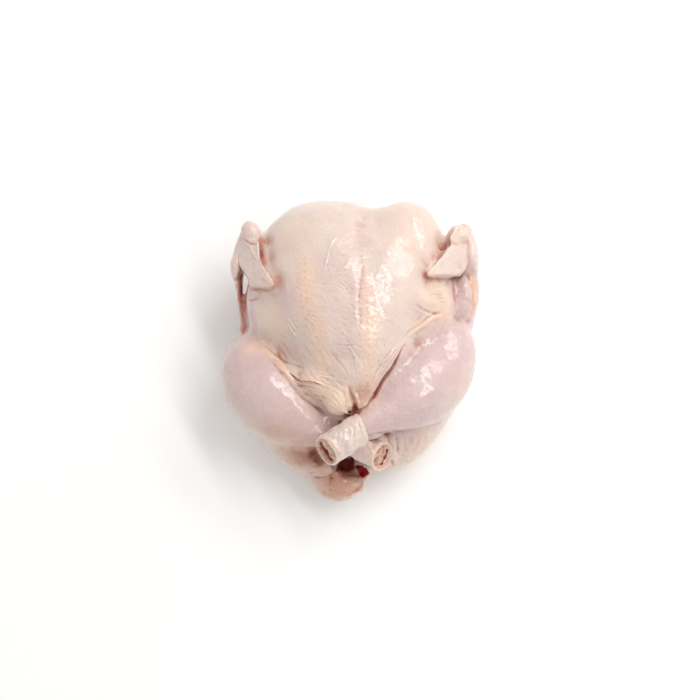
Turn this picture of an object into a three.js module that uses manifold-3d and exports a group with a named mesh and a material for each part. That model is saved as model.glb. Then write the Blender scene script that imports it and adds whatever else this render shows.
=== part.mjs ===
// A whole dressed raw chicken, lying on its back with its legs crossed over the vent and its wings folded.
// Millimetres. +Z is up out of the breast, +Y is the neck end, -Y the tail, and +X the bird's left side.
// Every fleshy form is a sphere drawn out along a smooth line. All of them fuse to one solid, opened by the
// body cavity, cut flat at the hocks and the wing tips, and flattened where the back rests.
import * as THREE from "three";
import { mergeVertices } from "three/addons/utils/BufferGeometryUtils.js";
import Module from "manifold-3d";

const wasm = await Module();
wasm.setup();

// ---- driving dimensions ----
const torsoHalfWidth = 85; // at the ribs, just ahead of the thighs
const torsoHalfHeight = 61; // there too, before the back is flattened
const torsoMiddle = 56; // height of the middle of the torso above the resting face
const neckEnd = 120; // y of the foremost skin of the breast
const bellyEnd = -62; // y of the last of the belly skin
const tailTip = -115; // y of the end of the tail
const cavityHalfWidth = 33; // inside the ribs
const thighHalfWidth = 33; // thickest part of the thigh
const drumHalfWidth = 33; // thickest part of the drumstick
const pastHock = 26; // how far the shank would go on beyond its cut
const wingArmRadius = 13; // upper arm of the wing
const forearmThickness = 9; // folded forearm seen from above
const wristRadius = 9.5;
const handHalfWidth = 7.5; // flat hand of the wing, next to the wrist
const handThickness = 7;
const webThickness = 7; // skin between the hand and the forearm
const pastTip = 14; // how far the hand would go on beyond its cut
const limbBlock = 60; // side of the blocks that cut the limbs, larger than what they cut off
const tableBlock = 400; // and of the one that flattens the back

// ---- making solids ----
function solidFrom(geometry) {
  geometry.deleteAttribute("normal");
  geometry.deleteAttribute("uv");
  const merged = mergeVertices(geometry, 1e-3);
  return new wasm.Manifold(
    new wasm.Mesh({
      numProp: 3,
      vertProperties: new Float32Array(merged.attributes.position.array),
      triVerts: new Uint32Array(merged.index.array),
    }),
  );
}

function geometryFrom(solid) {
  const { numProp, numVert, vertProperties, triVerts } = solid.getMesh();
  const positions = new Float32Array(numVert * 3);
  for (let i = 0; i < numVert; i++) {
    positions.set(vertProperties.subarray(i * numProp, i * numProp + 3), i * 3);
  }
  const geometry = new THREE.BufferGeometry();
  geometry.setAttribute("position", new THREE.BufferAttribute(positions, 3));
  geometry.setIndex(new THREE.BufferAttribute(triVerts, 1));
  geometry.computeVertexNormals();
  return geometry;
}

const vector = (point) => new THREE.Vector3(...point);
const smoothLine = (points) => new THREE.CatmullRomCurve3(points, false, "catmullrom");
const fuse = (solids) => solids.reduce((sum, next) => sum.add(next));

// A fleshy form round a smooth line. `wide` and `thick` are half sizes, evenly spaced along the line from its
// start, and `side` is the direction of the width. `blunt` is 2 for an ellipsoid's ends and more for fuller
// ones, and `boxy` does the same for the rings. Each dent pushes the skin round a point, as a thumb does.
function flesh(form) {
  const { line, wide, thick, side = [1, 0, 0], blunt = 2.5, boxy = 2, dents = [] } = form;
  const { rings = 16, sides = 20 } = form;
  const middle = smoothLine(line.map(vector));
  const sizes = smoothLine(wide.map((half, i) => new THREE.Vector3(half, thick[i], 0)));
  const sideways = vector(side);
  const geometry = new THREE.SphereGeometry(1, sides, rings);
  const position = geometry.attributes.position;
  const point = new THREE.Vector3();
  for (let i = 0; i < position.count; i++) {
    point.fromBufferAttribute(position, i);
    const share = THREE.MathUtils.clamp((1 - point.y) / 2, 0, 1);
    const turn = Math.atan2(point.z, point.x);
    const c = Math.cos(turn);
    const s = Math.sin(turn);
    const isPole = Math.hypot(point.x, point.z) < 1e-6;
    const end = isPole ? 0 : (1 - Math.abs(point.y) ** blunt) ** (1 / blunt);
    const ring = end / (Math.abs(c) ** boxy + Math.abs(s) ** boxy) ** (1 / boxy);
    const tangent = middle.getTangentAt(share);
    const across = sideways.clone().addScaledVector(tangent, -tangent.dot(sideways)).normalize();
    const upright = tangent.clone().cross(across);
    const size = sizes.getPoint(share);
    point.copy(middle.getPointAt(share));
    point.addScaledVector(across, size.x * ring * c).addScaledVector(upright, size.y * ring * s);
    dents.forEach(({ at, reach, push }) => {
      point.addScaledVector(vector(push), Math.exp(-point.distanceToSquared(vector(at)) / reach ** 2));
    });
    position.setXYZ(i, point.x, point.y, point.z);
  }
  return solidFrom(geometry);
}

// What lies beyond a flat cut through `at`, on the side that `facing` points to.
function beyond(at, facing, size) {
  const block = new THREE.BoxGeometry(size, size, size);
  const outward = vector(facing).normalize();
  const turn = new THREE.Quaternion().setFromUnitVectors(new THREE.Vector3(0, 0, 1), outward);
  block.translate(0, 0, size / 2).applyQuaternion(turn).translate(...at);
  return solidFrom(block);
}

// ---- the body ----
function torso() {
  return flesh({
    line: [
      [6, neckEnd, torsoMiddle - 2],
      [1, 60, torsoMiddle + 1],
      [0, 0, torsoMiddle - 1],
      [-1, bellyEnd, torsoMiddle],
    ],
    wide: [0.82, 0.91, 0.97, 1, 0.84, 0.52, 0.3].map((share) => share * torsoHalfWidth),
    thick: [0.6, 0.84, 0.96, 1, 0.95, 0.74, 0.36].map((share) => share * torsoHalfHeight),
    blunt: 4,
    boxy: 2.3,
    rings: 38,
    sides: 46,
    dents: [
      { at: [-26, 104, 84], reach: 30, push: [-4, 2, 5] }, // breast lobe on the bird's right
      { at: [48, 106, 78], reach: 30, push: [7, 8, 6] }, // breast lobe on its left
      { at: [20, neckEnd, 76], reach: 11, push: [0, -8, -3] }, // notch between them
      { at: [15, 98, 106], reach: 13, push: [0, 0, -6] },
      { at: [10, 68, 117], reach: 13, push: [0, 0, -3] },
      { at: [3, 0, 114], reach: 22, push: [0, 0, 3] }, // keel of the breastbone
      { at: [1, -34, 98], reach: 18, push: [0, 0, 5] },
      { at: [64, 6, 96], reach: 30, push: [-4, 0, -16] }, // beds of the drumsticks
      { at: [-64, -6, 94], reach: 30, push: [4, 0, -16] },
    ],
  });
}

// The lower back, which closes the body beneath the cavity and carries the tail.
function lowerBack() {
  return flesh({
    line: [
      [0, 30, 26],
      [0, -40, 22],
      [-7, -98, 24],
    ],
    wide: [56, 56, 44, 26],
    thick: [24, 24, 22, 16],
    blunt: 3,
    rings: 14,
    sides: 24,
  });
}

function neckSkin() {
  return flesh({
    line: [
      [-32, 94, 36],
      [2, 100, 30],
      [38, 94, 36],
    ],
    wide: [13, 20, 13],
    thick: [14, 17, 14],
    side: [0, 0, 1],
    blunt: 3,
  });
}

function tail() {
  return flesh({
    line: [
      [-6, -70, 24],
      [-10, -94, 25],
      [-10, tailTip, 28],
    ],
    wide: [28, 27, 24, 14],
    thick: [16, 16, 13, 8],
    blunt: 3,
    sides: 24,
  });
}

function cavity() {
  return flesh({
    line: [
      [2, -134, 78],
      [2, -96, 54],
      [0, -40, 50],
      [0, 52, 55],
    ],
    wide: [0.5, 0.55, 0.62, 0.9, 1, 0.8].map((share) => share * cavityHalfWidth),
    thick: [0.5, 0.6, 0.72, 0.8, 0.8, 0.66].map((share) => share * cavityHalfWidth),
    blunt: 3,
    rings: 24,
    sides: 24,
  });
}

// ---- the limbs ----
// The thigh runs from the knee back to the rump.
function thigh({ knee, middle, rump }) {
  return flesh({
    line: [knee, middle, rump],
    wide: [0.66, 1, 0.98, 0.7].map((share) => share * thighHalfWidth),
    thick: [0.62, 0.98, 0.98, 0.74].map((share) => share * thighHalfWidth),
    blunt: 2.6,
    rings: 14,
    sides: 22,
  });
}

// The drumstick runs from the knee to the hock, where the shank is cut off square.
function drumstick({ knee, calf, shank, cut }) {
  const facing = vector(cut).sub(vector(shank)).normalize();
  const onward = vector(cut).addScaledVector(facing, pastHock).toArray();
  const profile = [0.8, 0.9, 0.98, 1.01, 0.96, 0.82, 0.56, 0.38, 0.45, 0.5, 0.53, 0.5];
  return flesh({
    line: [knee, calf, shank, cut, onward],
    wide: profile.map((share) => share * drumHalfWidth),
    thick: profile.map((share) => share * drumHalfWidth * 0.9),
    side: [facing.y, -facing.x, 0],
    blunt: 3.2,
    rings: 32,
    sides: 26,
  }).subtract(beyond(cut, facing.toArray(), limbBlock));
}

// Upper arm back along the ribs, forearm forward again, and the flat hand folded back over the flank.
// A web of skin joins the hand to the forearm below the wrist.
function wing(bones) {
  const { shoulder, ribs, elbow, forearm, wrist, thumb, webEnd, palm, tip } = bones;
  const { tipHalfWidth, tipSide, tipFacing } = bones;
  const upperArm = flesh({
    line: [shoulder, ribs, elbow],
    wide: [1.2, 1.1, 0.8].map((share) => share * wingArmRadius),
    thick: [1.2, 1, 0.7].map((share) => share * wingArmRadius),
    blunt: 3,
    rings: 12,
    sides: 16,
  });
  const lowerArm = flesh({
    line: [elbow, forearm, wrist],
    wide: [0.42, 0.5, 0.55, 0.8].map((share) => share * forearmThickness),
    thick: [1, 1.3, 1.3, 1.1].map((share) => share * forearmThickness),
    blunt: 3.5,
    sides: 16,
  });
  const knuckle = flesh({
    line: [wrist, thumb],
    wide: [wristRadius, wristRadius],
    thick: [wristRadius, wristRadius],
    blunt: 2.4,
    rings: 10,
    sides: 14,
  });
  const onward = vector(tip).addScaledVector(vector(tip).sub(vector(palm)).normalize(), pastTip).toArray();
  const midHalfWidth = (handHalfWidth + tipHalfWidth) / 2;
  const hand = flesh({
    line: [thumb, palm, tip, onward],
    wide: [handHalfWidth, handHalfWidth, midHalfWidth, tipHalfWidth, tipHalfWidth * 1.2],
    thick: [1, 1, 0.9, 0.8, 0.7].map((share) => (share * handThickness) / 2),
    side: tipSide,
    blunt: 6,
    boxy: 2.6,
    rings: 12,
    sides: 16,
  });
  const web = flesh({
    line: [thumb, webEnd],
    wide: [wristRadius, wristRadius * 0.8],
    thick: [webThickness / 2, webThickness / 2],
    side: [0.3, 0, 1],
    blunt: 3,
    rings: 8,
    sides: 12,
  });
  return fuse([upperArm, lowerArm, knuckle, web, hand.subtract(beyond(tip, tipFacing, limbBlock))]);
}

const leftThigh = thigh({ knee: [82, 22, 46], middle: [48, -37, 38], rump: [25, -90, 34] });
const rightThigh = thigh({ knee: [-83, 10, 44], middle: [-50, -41, 36], rump: [-28, -92, 32] });
const leftDrumstick = drumstick({
  knee: [82, 30, 52],
  calf: [64, -16, 61],
  shank: [15, -60, 86],
  cut: [-19, -83, 89],
});
const rightDrumstick = drumstick({
  knee: [-83, 17, 50],
  calf: [-68, -30, 59],
  shank: [-12, -66, 61],
  cut: [30, -86, 61],
});
const leftWing = wing({
  shoulder: [64, 84, 46],
  ribs: [86, 58, 46],
  elbow: [91, 14, 44],
  forearm: [98, 50, 56],
  wrist: [94, 92, 66],
  thumb: [84, 97, 75],
  webEnd: [91, 63, 69],
  palm: [85, 80, 82],
  tip: [77, 57, 90],
  tipHalfWidth: 16,
  tipSide: [-20, -2, 16],
  tipFacing: [0.08, -1, 0],
});
const rightWing = wing({
  shoulder: [-52, 84, 40],
  ribs: [-66, 50, 36],
  elbow: [-87, 14, 40],
  forearm: [-92, 54, 52],
  wrist: [-87, 93, 66],
  thumb: [-79, 101, 74],
  webEnd: [-88, 67, 68],
  palm: [-79, 80, 83],
  tip: [-71, 45, 94],
  tipHalfWidth: 13,
  tipSide: [12, 0, 11],
  tipFacing: [-0.12, -1, -0.05],
});

// ---- the one solid ----
const body = fuse([torso(), lowerBack(), neckSkin(), tail(), leftThigh, rightThigh]).subtract(cavity());
const whole = fuse([body, leftDrumstick, rightDrumstick, leftWing, rightWing]);
const bird = geometryFrom(whole.subtract(beyond([0, 0, 0], [0, 0, -1], tableBlock)));
bird.computeBoundingBox();
const centre = bird.boundingBox.getCenter(new THREE.Vector3());
bird.translate(-centre.x, -centre.y, 0);

const skin = new THREE.MeshStandardMaterial({ color: "#ead2c4", roughness: 0.42, metalness: 0 });
const chicken = new THREE.Mesh(bird, skin);
chicken.name = "chicken";

const part = new THREE.Group();
part.add(chicken);

export default part;
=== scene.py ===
import math

import bpy
import numpy as np
from mathutils import Matrix, Vector
from mathutils.bvhtree import BVHTree


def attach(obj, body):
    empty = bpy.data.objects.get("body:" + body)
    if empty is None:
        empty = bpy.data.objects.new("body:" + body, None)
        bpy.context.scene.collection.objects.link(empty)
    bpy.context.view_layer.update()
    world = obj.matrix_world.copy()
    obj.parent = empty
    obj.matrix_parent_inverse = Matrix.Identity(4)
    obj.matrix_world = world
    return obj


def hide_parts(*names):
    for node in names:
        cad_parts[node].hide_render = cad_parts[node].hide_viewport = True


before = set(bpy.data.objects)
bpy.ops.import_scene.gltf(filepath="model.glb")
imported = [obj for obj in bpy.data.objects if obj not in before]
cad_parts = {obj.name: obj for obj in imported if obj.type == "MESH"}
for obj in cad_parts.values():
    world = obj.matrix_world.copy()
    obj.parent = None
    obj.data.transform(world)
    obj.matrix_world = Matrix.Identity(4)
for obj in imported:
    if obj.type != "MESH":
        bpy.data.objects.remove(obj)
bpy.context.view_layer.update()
mm = 0.001
chance = np.random.default_rng(7)

# the camera looks down on the breast from the tail end
shot = {
    "lens": 85,  # mm
    "sensor": 36,  # mm
    "across": 0.56,  # metres that the picture shows across at the aim
    "elevation": 80,  # degrees above the table
    "aim": (0, 0, 0.055),  # metres
}


# handling objects
def clearSelection():
    bpy.ops.object.select_all(action="DESELECT")


def makeActive(obj):
    clearSelection()
    obj.select_set(True)
    bpy.context.view_layer.objects.active = obj


def useModifier(obj, kind, **settings):
    makeActive(obj)
    modifier = obj.modifiers.new(kind.lower(), kind)
    for name, value in settings.items():
        setattr(modifier, name, value)
    bpy.ops.object.modifier_apply(modifier=modifier.name)


def remesh(obj, voxel):  # one closed surface round all the shells of the object
    useModifier(obj, "REMESH", mode="VOXEL", voxel_size=voxel * mm)


def soften(obj, rounds, group=""):
    useModifier(obj, "SMOOTH", factor=0.5, iterations=rounds, vertex_group=group)


def cutOut(obj, tool):
    useModifier(obj, "BOOLEAN", operation="DIFFERENCE", object=tool)
    bpy.data.objects.remove(tool)


def joinInto(target, others):
    clearSelection()
    for other in [*others, target]:
        other.select_set(True)
    bpy.context.view_layer.objects.active = target
    bpy.ops.object.join()


def readAll(items, attribute):
    values = np.zeros(len(items) * 3, np.float32)
    items.foreach_get(attribute, values)
    return values.reshape(-1, 3)


def readPoints(mesh):
    return [readAll(mesh.vertices, attribute).astype(float) for attribute in ("co", "normal")]


def writePoints(mesh, places):
    mesh.vertices.foreach_set("co", places.astype(np.float32).ravel())
    mesh.update()


def addMesh(name, points, faces):
    mesh = bpy.data.meshes.new(name)
    mesh.from_pydata(points, [], faces)
    made = bpy.data.objects.new(name, mesh)
    bpy.context.scene.collection.objects.link(made)
    makeActive(made)
    return made


def addGroup(obj, name, weights, steps=20):
    group = obj.vertex_groups.new(name=name)
    levels = np.round(np.clip(weights, 0, 1) * steps).astype(int)
    for level in range(1, steps + 1):
        chosen = np.flatnonzero(levels == level).tolist()
        if chosen:
            group.add(chosen, level / steps, "REPLACE")


def treeOf(obj):
    return BVHTree.FromObject(obj, bpy.context.evaluated_depsgraph_get())


def turnTo(forward, rise):  # the turn that takes x to forward and z as near to rise as it can
    forward = Vector(forward).normalized()
    sideways = Vector(rise).cross(forward).normalized()
    return Matrix((forward, sideways, forward.cross(sideways))).transposed().to_euler()


# a ball drawn out to its half sizes, its long way turned to point along `towards`
def addLump(at, half, towards=(1, 0, 0), rise=(0, 0, 1)):
    place = [c * mm for c in at]
    clearSelection()
    bpy.ops.mesh.primitive_uv_sphere_add(
        segments=32, ring_count=20, radius=mm, location=place, rotation=turnTo(towards, rise)
    )
    lump = bpy.context.object
    lump.scale = half
    bpy.ops.object.transform_apply(location=True, rotation=True, scale=True)
    return lump


def addRing(at, around, ringRadius, thickness):
    clearSelection()
    bpy.ops.mesh.primitive_torus_add(
        location=[c * mm for c in at],
        rotation=Vector(around).to_track_quat("Z", "Y").to_euler(),
        major_radius=ringRadius * mm,
        minor_radius=thickness * mm,
        major_segments=40,
        minor_segments=14,
    )
    ring = bpy.context.object
    bpy.ops.object.transform_apply(location=True, rotation=True, scale=True)
    return ring


# the camera
tilt = math.radians(90 - shot["elevation"])
reach = shot["lens"] / shot["sensor"] * shot["across"]
eye = Vector(shot["aim"]) + reach * Vector((0, -math.sin(tilt), math.cos(tilt)))
bpy.ops.object.camera_add(location=eye, rotation=(tilt, 0, 0))
camera = bpy.context.object
camera.data.lens = shot["lens"]
camera.data.sensor_width = shot["sensor"]
camera.data.clip_start = 0.05
bpy.context.scene.camera = camera
print("camera set")


# sculpting: a place is (right, up) from the middle of the camera's picture, on what the camera sees there
def rayTo(place):
    return (Matrix.Rotation(tilt, 3, "X") @ Vector((place[0] * mm, place[1] * mm, -reach))).normalized()


def findSpot(tree, place):
    spot, facing, _, _ = tree.ray_cast(eye, rayTo(place))
    return spot, facing


def smoothPath(path, step=1.0):  # a smooth line through the places, one sample for each step
    knots = np.array(path, float)
    ends = np.vstack([2 * knots[0] - knots[1], knots, 2 * knots[-1] - knots[-2]])
    samples = []
    for a, b, c, d in zip(ends, ends[1:], ends[2:], ends[3:]):
        count = max(2, math.ceil(np.linalg.norm(c - b) / step))
        for t in np.arange(count) / count:
            curve = 2 * b + (c - a) * t + (2 * a - 5 * b + 4 * c - d) * t**2 + (3 * b - a - 3 * c + d) * t**3
            samples.append(curve / 2)
    return [*samples, knots[-1]]


def layLine(tree, path):
    found = [findSpot(tree, sample) for sample in smoothPath(path)]
    found = [(spot, facing) for spot, facing in found if spot]
    return np.array([spot for spot, _ in found]), np.array([facing for _, facing in found])


# the points nearer than `near` to a line: their distance, side, share of the way along, and the gap itself
def besideLine(places, line, near, facings=None):
    if facings is None:
        facings = np.tile([0.0, 0, 1], (len(line), 1))
    inBox = (places > line.min(0) - near) & (places < line.max(0) + near)
    chosen = np.flatnonzero(inBox.all(1))
    step = np.diff(line, axis=0)
    toPoint = places[chosen, None] - line[None, :-1]
    share = np.clip((toPoint * step).sum(2) / (step**2).sum(1).clip(1e-12), 0, 1)
    gap = toPoint - share[..., None] * step
    best = (gap**2).sum(2).argmin(1)
    rows = np.arange(len(chosen))
    gap = gap[rows, best]
    distance = np.linalg.norm(gap, axis=1)
    side = np.sign((gap * np.cross(step[best], facings[best])).sum(1))  # 1 to the right of the line's way
    along = (best + share[rows, best]) / len(step)
    kept = distance < near
    return chosen[kept], distance[kept], side[kept], along[kept], gap[kept]


def ease(share):
    share = np.clip(share, 0, 1)
    return share * share * (3 - 2 * share)


def ramp(value, start, end):  # rises softly from 0 at the start to 1 at the end
    return ease((value - start) / (end - start))


def fadeEnds(along, fade):
    return ease(along / fade) * ease((1 - along) / fade)


# how far each shape of crease lifts the skin, x widths away from its line
def ridge(x, side):
    return np.exp(-(x**2))


def groove(x, side):
    return 0.3 * np.exp(-((x - 2.2) ** 2)) - np.exp(-(x**2))


def fold(x, side):  # the skin to the right of the line lies over the skin to its left
    over = ease(x / 0.7) * np.exp(-((x / 2.4) ** 2)) - 0.5 * (1 - ease(x / 0.7))
    return np.where(side > 0, over, -0.5 * np.exp(-((x / 1.1) ** 2)))


def startForm(piece):  # what the sculpting and painting below need to know of a piece
    places, facings = readPoints(piece.data)
    return {"places": places, "facings": facings, "tree": treeOf(piece), "lift": np.zeros(len(places))}


def liftForm(piece, form):  # nothing goes below the table
    places = form["places"] + form["facings"] * form["lift"][:, None]
    places[:, 2] = np.maximum(places[:, 2], 0)
    writePoints(piece.data, places)


def press(form, path, width, height, shape=ridge, fade=0.25):
    line, facings = layLine(form["tree"], path)
    if len(line) < 2:
        return
    chosen, distance, side, along, _ = besideLine(form["places"], line, 5 * width * mm, facings)
    form["lift"][chosen] += shape(distance / (width * mm), side) * fadeEnds(along, fade) * height * mm


def blot(form, place, radius):  # 1 at the place, fading out over the radius
    spot, _ = findSpot(form["tree"], place)
    if not spot:
        return np.zeros(len(form["places"]))
    distance = np.linalg.norm(form["places"] - np.array(spot), axis=1)
    return np.exp(-((distance / (radius * mm)) ** 2))


# like wrinkles side by side, each a little uneven
def pressRow(form, first, shift, count, width, height):
    for i in range(count):
        wander = chance.normal(0, 0.5, (len(first), 2))
        size = chance.uniform(0.45, 1.25)
        path = [np.array(place) + np.array(shift) * i + off for place, off in zip(first, wander)]
        press(form, path, width * chance.uniform(0.8, 1.25), height * size, fade=0.4)


# how far each place in the picture is inside an outline, negative outside
def gapInside(places, outline):
    corners = np.array(outline, float)
    inside = np.zeros(len(places), bool)
    nearest = np.full(len(places), 1e3)
    for a, b in zip(corners, np.roll(corners, -1, 0)):
        crosses = (a[1] > places[:, 1]) != (b[1] > places[:, 1])
        rise = b[1] - a[1] if b[1] != a[1] else 1e-9
        inside ^= crosses & (places[:, 0] < (b[0] - a[0]) * (places[:, 1] - a[1]) / rise + a[0])
        step = b - a
        share = np.clip(((places - a) @ step) / (step @ step), 0, 1)
        nearest = np.minimum(nearest, np.linalg.norm(places - a - share[:, None] * step, axis=1))
    return np.where(inside, nearest, -nearest)


# many short wrinkles inside an outline, each on its own way along the nearest guide lines
def pressField(form, outline, guides, count, length, width, height, stride=1.5):
    low, high = np.min(outline, axis=0), np.max(outline, axis=0)
    lines = [np.array(smoothPath(guide, 3)) for guide in guides]
    spots = np.vstack([line[:-1] for line in lines])
    ways = np.vstack([np.diff(line, axis=0) for line in lines])
    ways /= np.linalg.norm(ways, axis=1)[:, None]
    starts = chance.uniform(low, high, (count * 6, 2))
    starts = starts[gapInside(starts, outline) > 0][:count]
    for start in starts:
        steps = int(chance.uniform(*length) / (2 * stride))
        halves = []
        for turn in (-1, 1):
            place, half = start, []
            for _ in range(steps):
                way = (ways / (((spots - place) ** 2).sum(1)[:, None] + 9)).sum(0)
                place = place + turn * stride * way / np.linalg.norm(way) + chance.normal(0, 0.14, 2)
                half.append(place)
            halves.append(half)
        path = [*halves[0][::-1], start, *halves[1]]
        size = height * chance.uniform(0.35, 1.1) * chance.choice((-1, 1))
        press(form, path, chance.uniform(*width), size, fade=0.45)


# painting: a mask has one value for each point
def dab(form, mask, place, radius, strength=1.0):
    mask += strength * blot(form, place, radius) * (1 - mask)


def brush(form, mask, path, width, strength=1.0, fade=0.2):
    line, _ = layLine(form["tree"], path)
    if len(line) < 2:
        return
    chosen, distance, _, along, _ = besideLine(form["places"], line, 3 * width * mm)
    stroke = strength * np.exp(-((distance / (width * mm)) ** 2)) * fadeEnds(along, fade)
    mask[chosen] += stroke * (1 - mask[chosen])


# each stroke is a place or a path, its radius or width, its strength and, of a path, how it fades
def paint(form, strokes, mask=None):
    if mask is None:
        mask = np.zeros(len(form["places"]))
    for where, *rest in strokes:
        tool = brush if isinstance(where, list) else dab
        tool(form, mask, where, *rest)
    return mask


def inPicture(places):  # where the camera sees the points
    gap = places - np.array(eye)
    away = -(gap @ np.array((0, -math.sin(tilt), math.cos(tilt))))
    up = gap @ np.array((0, math.cos(tilt), math.sin(tilt)))
    return np.stack([gap[:, 0], up], 1) * (reach / away)[:, None] / mm


def areaMask(seen, outline, soft):  # 1 within an outline in the picture, fading over `soft` at its edge
    return ease(0.5 + gapInside(seen, outline) / (2 * soft))


def evenOut(mesh, values, rounds):  # each point takes the mean of itself and its neighbours
    ends = np.zeros(len(mesh.edges) * 2, np.int32)
    mesh.edges.foreach_get("vertices", ends)
    first, second = ends.reshape(-1, 2).T
    size = len(values)
    count = 1 + np.bincount(first, minlength=size) + np.bincount(second, minlength=size)
    columns = list(values.reshape(size, -1).T)
    for _ in range(rounds):
        for i, column in enumerate(columns):
            total = column + np.bincount(first, column[second], size)
            columns[i] = (total + np.bincount(second, column[first], size)) / count
    return np.array(columns).T.reshape(values.shape)


# for the shade painted in the valleys of the wrinkles
def furrowShadeMask(mesh, rounds=6, low=0.09, high=0.5):  # 1 in the valleys of the wrinkles
    places, facings = readPoints(mesh)
    sunk = ((evenOut(mesh, places, rounds) - places) * facings).sum(1) / mm
    return np.clip((sunk - low) / (high - low), 0, 1)


# how much flesh nearby shuts each point in: 0 in the open, 1 deep in a fold, where orange-brown shade is
# painted
def foldShadeMask(mesh, trees, rays=10, near=13, low=0.24, high=0.66):
    places, facings = readPoints(mesh)
    turns = chance.uniform(0, 2 * math.pi, len(places))
    sideways = np.cross(facings, np.where(np.abs(facings[:, 2:]) < 0.9, [[0.0, 0, 1]], [[1.0, 0, 0]]))
    sideways /= np.linalg.norm(sideways, axis=1)[:, None].clip(1e-9)
    third = np.cross(facings, sideways)
    met = np.zeros(len(places))
    for i in range(rays):
        spread = math.sqrt((i + 0.5) / rays)
        angle = turns + 2.4 * i  # the golden angle spreads the rays evenly
        ways = facings * math.sqrt(1 - spread**2)
        ways = ways + (sideways * np.cos(angle)[:, None] + third * np.sin(angle)[:, None]) * spread
        starts = places + facings * 0.4 * mm
        for j, (start, way) in enumerate(zip(starts.tolist(), ways.tolist())):
            for tree in trees:
                hit = tree.ray_cast(start, way, near * mm)
                if hit[0]:
                    met[j] += 1 - 0.6 * hit[3] / (near * mm)
                    break
    return np.clip((evenOut(mesh, met / rays, 4) - low) / (high - low), 0, 1)


def writeMasks(piece, masks):
    for name, mask in masks.items():
        attribute = piece.data.attributes.new(name, "FLOAT", "POINT")
        attribute.data.foreach_set("value", np.clip(mask, 0, 1).astype(np.float32))


# the skin
skinPiece = {
    "node": "chicken",
    "startVoxel": 1.6,  # closes the added lumps and the solid to one surface
    "bodyPasses": 30,  # rounds of smoothing that take the facets out
    "wingPasses": 5,  # thin parts keep their thickness
    "mostTriangles": 196000,
    "limbs": [  # lines of dark meat in (x, y, z), its radius and how much of it shows
        ([(82, 30, 52), (64, -16, 61), (15, -60, 86), (-4, -73, 88)], 40, 1),  # left drumstick
        ([(-83, 17, 50), (-68, -30, 59), (-12, -66, 61), (18, -80, 61)], 40, 1),  # right drumstick
        ([(82, 22, 46), (48, -37, 38), (25, -90, 34)], 34, 0.5),  # left thigh
        ([(-83, 10, 44), (-50, -41, 36), (-28, -92, 32)], 34, 0.5),  # right thigh
    ],
    "cavity": [(2, -112, 62), (2, -96, 54), (0, -40, 50), (0, 52, 55)],  # its middle, (x, y, z)
    "cavityRadius": (19, 33),  # at the vent and inside
    "cuffRoom": ((20, -71, 66), (13, 7.5, 8)),  # a lump cut away for the cuff of the lower hock
    "drumSeam": [(42, -8), (54, 1), (62, 8), (70, 13), (78, 17), (86, 22)],  # smoothed again
}

# the cut ends of the shanks, each in a cuff of skin from the joint to the cut; `lean` turns the face of the
# cut up, `slant` draws the cuff's edge back on one side, and `floor` is the lowest z that is drawn in
hocks = {
    "upper": {
        "joint": (8.2, -67.5, 87),
        "cut": (-17.6, -84.8, 88.5),
        "jointRadius": 12,
        "cutRadius": 12.4,
        "lean": 0.4,
        "slant": -0.2,
        "rim": 1.6,
        "floor": 74,
        # from the cut, across, up and half sizes
        "bulges": [
            (-24, -8, 2, (7, 5, 6)),
            (-23, 6, 1, (8, 6, 7)),
            (-8, -5, 5, (9, 6, 7)),
            (-14, 6, 4, (7, 6, 7)),
        ],
        # across, up the face and half sizes: two heads of gristle with the marrow below them, then the rim
        "gristle": [(-4.4, 3.8, (6.4, 5.6, 2.8)), (4.6, 3.4, (6.2, 5.4, 2.8)), (0, -8.8, (8, 1.4, 2.4))],
        "marrow": [(-5, -4.4, (5, 2.1, 1.9)), (0, -4.8, (5, 2.0, 1.9)), (5, -4.7, (5, 2.1, 1.9))],
    },
    "lower": {
        "joint": (2, -74, 61),
        "cut": (24.8, -86, 61.5),
        "jointRadius": 11.8,
        "cutRadius": 12.2,
        "lean": 0.54,
        "slant": 0,
        "rim": 3.4,
        "floor": 49,
        "bulges": [(-7, 11, 2.5, (7.5, 6.4, 6)), (-16, 10, 3, (8, 8, 7)), (-8, -6, 3, (8, 6, 6))],
        "gristle": [(-3, 0.8, (5.8, 5.8, 2.8)), (3, 0.6, (4.6, 5.2, 2.6))],
        "marrow": [(6, -4.6, (2.8, 1.4, 1.8)), (1.4, -6.4, (4, 1.3, 1.8)), (-4.4, -6, (3.4, 1.5, 1.9))],
    },
}


def hockLength(hock):
    return (Vector(hock["cut"]) - Vector(hock["joint"])).length


def hockWays(hock):  # the way out along the shank, sideways and up
    out = (Vector(hock["cut"]) - Vector(hock["joint"])).normalized()
    side = Vector((0, 0, 1)).cross(out).normalized()
    return out, side, out.cross(side)


def hockPlace(hock, depth, across, rise):  # from the middle of the cut
    out, side, upward = hockWays(hock)
    return Vector(hock["cut"]) + out * depth + side * across + upward * rise


def fromCut(hock, places):  # how far the points lie beyond the middle of the cut, across it and above it
    gap = places / mm - np.array(hock["cut"])
    return [gap @ np.array(way) for way in hockWays(hock)]


def copyNode(name):
    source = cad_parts[name]
    copy = source.copy()
    copy.data = source.data.copy()
    copy.parent = None
    bpy.context.scene.collection.objects.link(copy)
    makeActive(copy)
    copy.data.materials.clear()
    bpy.ops.object.mode_set(mode="EDIT")
    bpy.ops.mesh.select_all(action="SELECT")
    bpy.ops.mesh.remove_doubles(threshold=0.01 * mm)
    bpy.ops.object.mode_set(mode="OBJECT")
    return copy


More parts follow.
